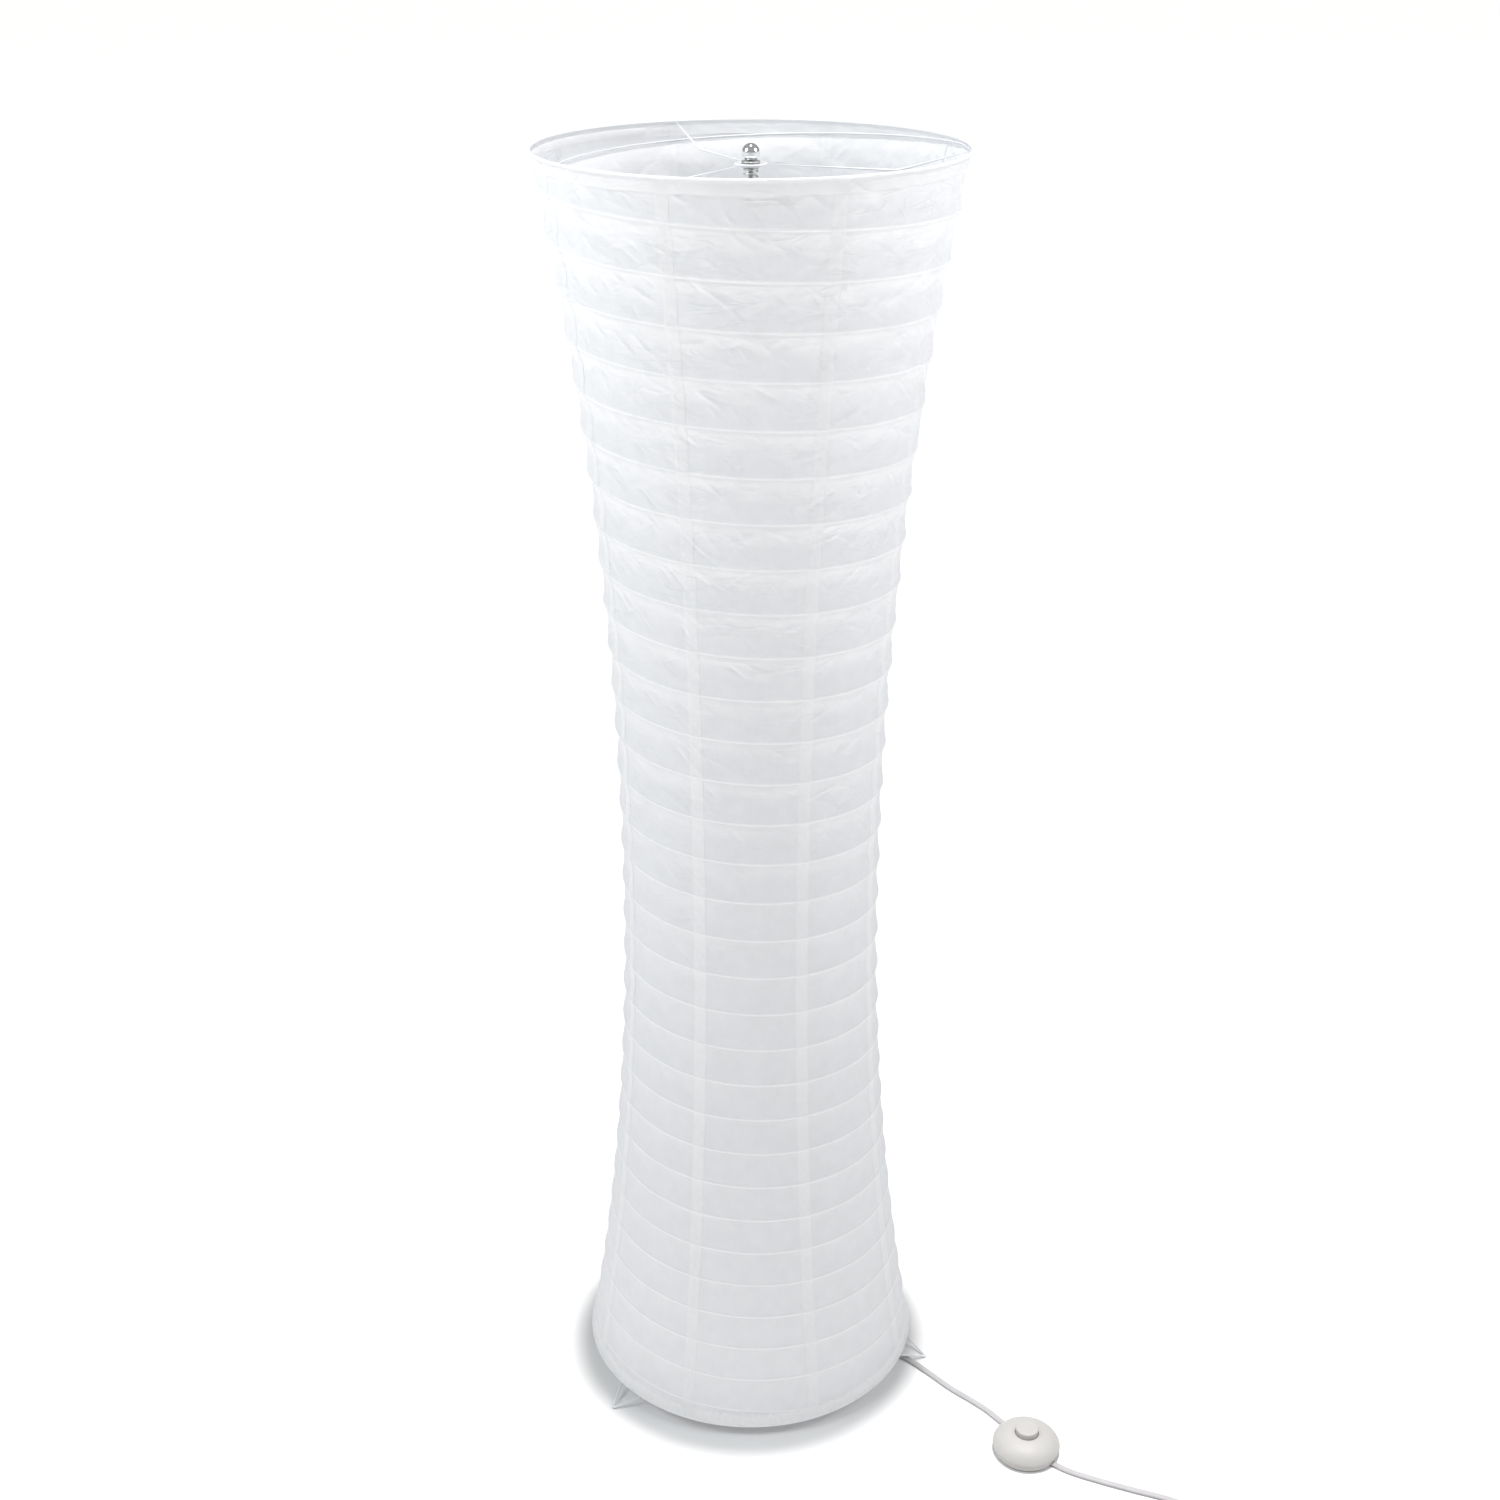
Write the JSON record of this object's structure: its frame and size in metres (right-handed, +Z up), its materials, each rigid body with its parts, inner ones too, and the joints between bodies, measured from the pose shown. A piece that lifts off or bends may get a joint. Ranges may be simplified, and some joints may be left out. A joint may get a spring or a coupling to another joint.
{
  "type": "accordion paper floor lamp",
  "caption": "Tall hourglass accordion paper lantern that stands on the floor as a lamp, with a wire spider, wire feet, bulbs inside and a mains cord with a foot switch.",
  "frame": {"origin": "centre of the base disc's underside, on the floor under the lamp's axis", "axes": "+Z up along the pole, -Y towards the viewer's side (the front), +X to the side where the cord leaves"},
  "size_m": [0.6639, 0.5671, 1.2018],
  "materials": {
    "paper": "matt translucent white rice paper with fibres and soft crinkles",
    "white_wire": "white plastic-coated steel wire, satin",
    "white_steel": "white powder coat, satin",
    "zinc": "bright zinc plate",
    "chrome": "mirror chrome",
    "holder_plastic": "white moulded thermoplastic",
    "bulb_glass": "opal white glass",
    "bulb_cap": "bare rolled aluminium",
    "plug_pins": "nickel-plated brass",
    "cord": "soft white PVC twin cord, semi-matt",
    "switch_plastic": "warm white moulded plastic, low gloss"
  },
  "bodies": {
    "lamp": {"paper_gore_1": "paper", "paper_gore_2": "paper", "paper_gore_3": "paper", "paper_gore_4": "paper", "paper_gore_5": "paper", "paper_gore_6": "paper", "paper_gore_7": "paper", "paper_gore_8": "paper", "rib_spiral_wire": "white_wire", "top_ring": "white_wire", "spider_eye": "white_wire", "spider_arm_back": "white_wire", "spider_arm_left": "white_wire", "spider_arm_right": "white_wire", "leg_right": "white_wire", "leg_back": "white_wire", "leg_left": "white_wire", "base_disc": "white_steel", "clamp_plate": "white_steel", "pole_lower": "white_steel", "pole_middle": "white_steel", "pole_upper": "white_steel", "bracket_lower": "white_steel", "bracket_upper": "white_steel", "base_nut": "zinc", "coupler_lower": "zinc", "coupler_upper": "zinc", "pole_cap": "zinc", "threaded_rod": "zinc", "lower_washer": "zinc", "upper_washer": "zinc", "compression_spring": "zinc", "switch_spring": "zinc", "lampholder_lower": "holder_plastic", "lampholder_upper": "holder_plastic", "junction_box": "holder_plastic", "cord_gland": "holder_plastic", "coil_tie": "holder_plastic", "plug_pin_1": "plug_pins", "plug_pin_2": "plug_pins", "inner_cord_feed": "cord", "inner_cord_to_lower": "cord", "inner_cord_to_upper": "cord", "cord_boot": "cord", "cord_near": "cord", "cord_far": "cord", "cord_coil": "cord", "cord_tail": "cord", "switch_base": "switch_plastic", "switch_cover": "switch_plastic", "plug_body": "switch_plastic"},
    "bottom_hoop": {"bottom_ring": "white_wire"},
    "ball": {"ball_nut": "chrome"},
    "lower_bulb": {"bulb_lower_cap": "bulb_cap", "bulb_lower_glass": "bulb_glass"},
    "upper_bulb": {"bulb_upper_cap": "bulb_cap", "bulb_upper_glass": "bulb_glass"},
    "foot_button": {"switch_button": "switch_plastic"}
  },
  "joints": [
    {"name": "shade_lift", "type": "slide", "parent": "lamp", "child": "bottom_hoop", "axis": [0, 0, 1], "range_m": [0, 0.85], "deforming": ["paper_gore_1", "paper_gore_2", "paper_gore_3", "paper_gore_4", "paper_gore_5", "paper_gore_6", "paper_gore_7", "paper_gore_8", "rib_spiral_wire"]},
    {"name": "ball_nut_lift", "type": "slide", "parent": "lamp", "child": "ball", "axis": [0, 0, 1], "range_m": [0, 0.012]},
    {"name": "lower_bulb_out", "type": "slide", "parent": "lamp", "child": "lower_bulb", "axis": [0, 0, 1], "range_m": [0, 0.045]},
    {"name": "upper_bulb_out", "type": "slide", "parent": "lamp", "child": "upper_bulb", "axis": [0, 0, 1], "range_m": [0, 0.045]},
    {"name": "foot_button_press", "type": "slide", "parent": "lamp", "child": "foot_button", "axis": [0, 0, -1], "range_m": [0, 0.0035], "stiffness_N_per_m": 1200, "springref_m": -0.003, "deforming": ["switch_spring"]}
  ]
}
